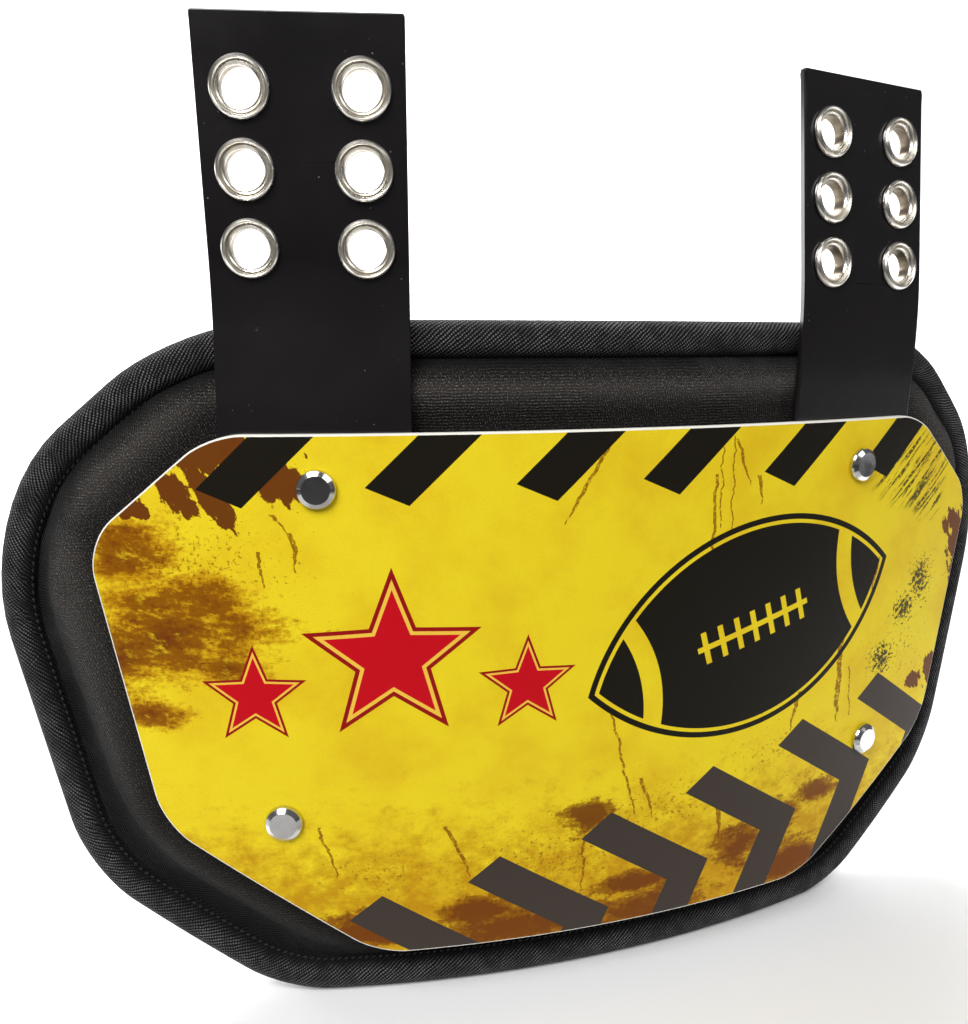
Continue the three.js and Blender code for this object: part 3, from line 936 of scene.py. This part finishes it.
def cracks(wobble):
    """Thin dark runs down the print, each on its own line."""
    marks = []
    for along, top, foot, lean, half_width in CRACKS:
        line = ink("MULTIPLY_ADD", ink_height, lean, ink("ADD", ink_along, -along - lean * top))
        line = ink("MULTIPLY_ADD", ink("ADD", wobble, -0.5), CRACK_WOBBLE, line)
        taper = ramp(ink_tree, ink_height, foot, foot + CRACK_TAPER, CRACK_TIP, half_width)
        thin = under(ink("ABSOLUTE", line), taper)
        marks.append(both(thin, under(ink_height, top), under(foot, ink_height)))
    return either(*marks)


def hazard_bars():
    """Slanting black bars that hang from the plate's top edge."""
    slanted = ink("MULTIPLY_ADD", ink_height, BAR_SLANT, ink_along)
    bars = []
    for start in BAR_STARTS:
        across = ink("ADD", slanted, -start)
        foot = ink("MULTIPLY_ADD", across, BAR_FOOT_SLOPE, BAR_FOOT)
        bars.append(both(under(0, across), under(across, BAR_WIDTH), under(foot, ink_height)))
    return either(*bars)


def chevrons():
    """Nested arrowheads that climb along the plate's lower edge."""
    rows = CHEVRONS
    across = ink("ADD", ink_along, -rows["along"])
    up = ink("ADD", ink_height, -rows["height"])
    upper_arm = ink("MULTIPLY_ADD", across, rows["upper_slope"], up)
    upper_arm = ink("MULTIPLY", upper_arm, 1 / rows["upper_width"])
    lower_arm = ink("MULTIPLY_ADD", up, rows["lower_slope"], ink("ADD", across, -rows["lower_start"]))
    nest = ink("MAXIMUM", upper_arm, ink("MULTIPLY", lower_arm, 1 / rows["lower_width"]))
    count = ink("FLOOR", ink("MULTIPLY", nest, 1 / rows["pitch"]))
    within = ink("FLOORED_MODULO", nest, rows["pitch"])
    end = ink("MULTIPLY_ADD", count, rows["end_step"], up)
    end = ink("MULTIPLY_ADD", across, rows["end_slope"], end)
    return both(under(within, 1.0), under(end, 0), under(0, nest), under(count, rows["last"]))


def star_edge(along, height, radius):
    """How far outside the edge of a five-pointed star a place lies."""
    across = ink("ADD", ink_along, -along)
    up = ink("ADD", ink_height, -height)
    reach = distance(across, up)
    sector = ink("ABSOLUTE", ink("WRAP", ink("ARCTAN2", across, up), math.pi / 5, -math.pi / 5))
    tipwards = ink("MULTIPLY", reach, ink("COSINE", sector))
    sideways = ink("MULTIPLY", reach, ink("SINE", sector))
    towards_tip, towards_side = STAR_FACING
    edge = ink("MULTIPLY_ADD", sideways, towards_side, -towards_tip * radius)
    return ink("MULTIPLY_ADD", tipwards, towards_tip, edge)


def ball():
    """A black pointed ball with its seam, laces and end bands left in yellow."""
    half_length = BALL["half_length"]
    half_height = BALL["half_height"]
    across = ink("ADD", ink_along, -BALL["along"])
    up = ink("ADD", ink_height, -BALL["height"])
    cosine = math.cos(BALL["turn"])
    sine = math.sin(BALL["turn"])
    length = ink("MULTIPLY_ADD", across, cosine, ink("MULTIPLY", up, sine))
    rise = ink("MULTIPLY_ADD", across, -sine, ink("MULTIPLY", up, cosine))
    radius = (half_length ** 2 + half_height ** 2) / (2 * half_height)
    lifted = ink("ADD", ink("ABSOLUTE", rise), radius - half_height)
    edge = ink("ADD", distance(length, lifted), -radius)
    span = ink("ABSOLUTE", length)
    bowed = ink("MULTIPLY_ADD", ink("MULTIPLY", rise, rise), BALL["band_bow"], span)
    height = ink("ABSOLUTE", rise)
    outline = both(under(edge, BALL["rim_outer"]), under(BALL["rim_inner"], edge))
    band = both(under(bowed, BALL["band_to"]), under(BALL["band_from"], bowed))
    band = both(band, under(edge, BALL["rim_inner"]))
    seam = both(under(height, BALL["seam_half"]), under(span, BALL["seam_reach"]))
    half_pitch = BALL["lace_pitch"] / 2
    lace_place = ink("ABSOLUTE", ink("WRAP", length, half_pitch, -half_pitch))
    lace = both(under(lace_place, BALL["lace_half"]), under(height, BALL["lace_length"]))
    lace = both(lace, under(span, BALL["lace_reach"]))
    return both(under(edge, 0), ink("SUBTRACT", 1.0, either(outline, band, seam, lace)))


def lay(amount, colour):
    """Prints one more colour over the print so far."""
    global ink_colour
    ink_colour = blend(ink_tree, amount, ink_colour, colour)


cloud = noise(ink_tree, ink_place, 0.035, detail=5, roughness=0.6)
smear = noise(ink_tree, ink_place, 0.11, detail=11, roughness=0.76, stretch=(2.2, 1, 1), shift=(40, 8, 0))
fray = noise(ink_tree, ink_place, 0.16, detail=8, roughness=0.72, stretch=(1.3, 1, 1))
drips = noise(
    ink_tree, ink_place, 0.30, detail=6, roughness=0.65, stretch=(1, 3.2, 1), turn=math.radians(28))
mottle = noise(
    ink_tree, ink_place, 0.34, detail=7, roughness=0.72, stretch=(2.2, 1, 1), turn=math.radians(-16),
    shift=(5, 70, 0))
grit = noise(ink_tree, ink_place, 0.75, detail=5, roughness=0.7)
grain = noise(ink_tree, ink_place, 3.0, detail=3, roughness=0.7)
brush = noise(ink_tree, ink_place, 0.62, detail=4, roughness=0.6, stretch=(13, 1, 1), turn=math.radians(41))
wobble = noise(ink_tree, ink_place, 0.22, detail=3, stretch=(6, 1, 1))

ink_colour = blend(ink_tree, ramp(ink_tree, cloud, 0.38, 0.74), PRINT_YELLOW, PRINT_GOLD)
lay(ramp(ink_tree, grain, 0.45, 0.75, 0, 0.3), PRINT_AMBER)
cloud_field = roughened(roughened(patches(CLOUD_PATCHES), smear, 3.4), grit, 0.9)
lay(ramp(ink_tree, cloud_field, -0.05, 0.40, 0, 0.85), PRINT_AMBER)
lay(ramp(ink_tree, cloud_field, 0.32, 0.62, 0, 0.85), PRINT_BROWN)
lay(ramp(ink_tree, cloud_field, 0.7, 1.2, 0, 0.6), PRINT_RUST)
lay(both(ramp(ink_tree, cloud_field, 0.0, 0.5), ramp(ink_tree, mottle, 0.53, 0.66, 0, 0.7)), PRINT_GOLD)
lay(both(ramp(ink_tree, cloud_field, 0.1, 0.6), ramp(ink_tree, mottle, 0.46, 0.34, 0, 0.6)), PRINT_RUST)
grime = roughened(ramp(ink_tree, ink_height, -72, -152), fray, 2.0)
lay(ramp(ink_tree, grime, 0.35, 1.1, 0, 0.8), PRINT_AMBER)
wash_field = roughened(roughened(patches(WASH_PATCHES), smear, 3.4), grit, 0.9)
lay(ramp(ink_tree, wash_field, 0.02, 0.36, 0, 0.82), PRINT_BROWN)
lay(ramp(ink_tree, wash_field, 0.40, 0.62, 0, 0.65), PRINT_RUST)
rust_field = roughened(roughened(patches(RUST_PATCHES), drips, 2.4), fray, 1.6)
lay(ramp(ink_tree, rust_field, 0.16, 0.24, 0, 0.96), PRINT_RUST)
speck_field = ink("MULTIPLY_ADD", patches(SPECK_PATCHES), 0.10, grit)
lay(ramp(ink_tree, speck_field, 0.63, 0.69, 0, 0.7), PRINT_BROWN)
lay(both(cracks(wobble), ramp(ink_tree, grit, 0.36, 0.5, 0.15, 0.85)), PRINT_BROWN)
for along, height, radius in STARS:
    star = star_edge(along, height, radius)
    for inset, colour in STAR_RINGS:
        lay(under(star, -inset * radius), colour)
lay(ball(), PRINT_BLACK)
lay(hazard_bars(), PRINT_BLACK)
lay(chevrons(), PRINT_CHEVRON)
brush_field = both(ramp(ink_tree, brush, 0.50, 0.57), ramp(ink_tree, patches(BRUSH_PATCHES), 0.0, 0.35))
lay(both(brush_field, ramp(ink_tree, grit, 0.38, 0.5, 0.1, 0.92)), PRINT_BLACK)
dab_field = roughened(roughened(patches(DAB_PATCHES), grit, 4.5), brush, 1.5)
lay(ramp(ink_tree, dab_field, 0.42, 0.66, 0, 0.92), PRINT_BLACK)
wire(ink_tree, ink_shader.inputs["Base Color"], ink_colour)
wire(ink_tree, ink_shader.inputs["Roughness"], ramp(ink_tree, grit, 0.3, 0.7, 0.36, 0.46))
ink_shader.inputs["Specular IOR Level"].default_value = 0.1
bump(ink_tree, ink_shader, grain, 0.06, 0.0002)

edge_plastic, edge_tree, edge_shader = new_material("plate_edge")
edge_coord = solid_places(edge_tree)
edge_marks = noise(edge_tree, edge_coord, 160, detail=4)
wire(edge_tree, edge_shader.inputs["Base Color"],
     blend(edge_tree, edge_marks, linear(246, 244, 236), linear(226, 222, 208)))
wire(edge_tree, edge_shader.inputs["Roughness"], ramp(edge_tree, edge_marks, 0.3, 0.7, 0.3, 0.45))

plate = add_object("printed_plate", sheet, [plate_print, edge_plastic], crease=math.radians(12))
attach(plate, "root")
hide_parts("plate")

# Rivets.
# Nickel-plated, with a broad flat head and a bright bevel round it.
# A plain flange behind each draws the pad in.
RIVET_PROFILE = [
    # radius, distance in front of the plate
    (0.0, 0.0024), (0.0038, 0.0024), (0.0050, 0.0016), (0.00525, 0.0011),
    (0.00525, 0.0003), (0.0025, 0.0003), (0.0025, -0.0249), (0.0055, -0.0249), (0.0055, -0.0257),
    (0.0051, -0.0261), (0.0, -0.0261),
]
bright, bright_tree, bright_shader = new_material("rivet_nickel")
bright_coord = solid_places(bright_tree)
bright_haze = noise(bright_tree, bright_coord, 300, detail=4)
wire(bright_tree, bright_shader.inputs["Base Color"],
     blend(bright_tree, bright_haze, linear(228, 228, 228), linear(196, 196, 198)))
bright_shader.inputs["Metallic"].default_value = 1.0
wire(bright_tree, bright_shader.inputs["Roughness"], ramp(bright_tree, bright_haze, 0.3, 0.7, 0.1, 0.2))

for name, (along, height) in RIVET_PLACES.items():
    rivet_bm = turned_piece(RIVET_PROFILE, closed=False)
    stand = Matrix.Translation(bent(along, 0, height)) @ Matrix.Rotation(along / BEND_RADIUS, 4, "Z")
    bmesh.ops.transform(rivet_bm, matrix=stand, verts=rivet_bm.verts[:])
    rivet = add_object(f"{name}_turned", rivet_bm, [bright], crease=math.radians(12))
    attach(rivet, "root")
    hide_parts(name)
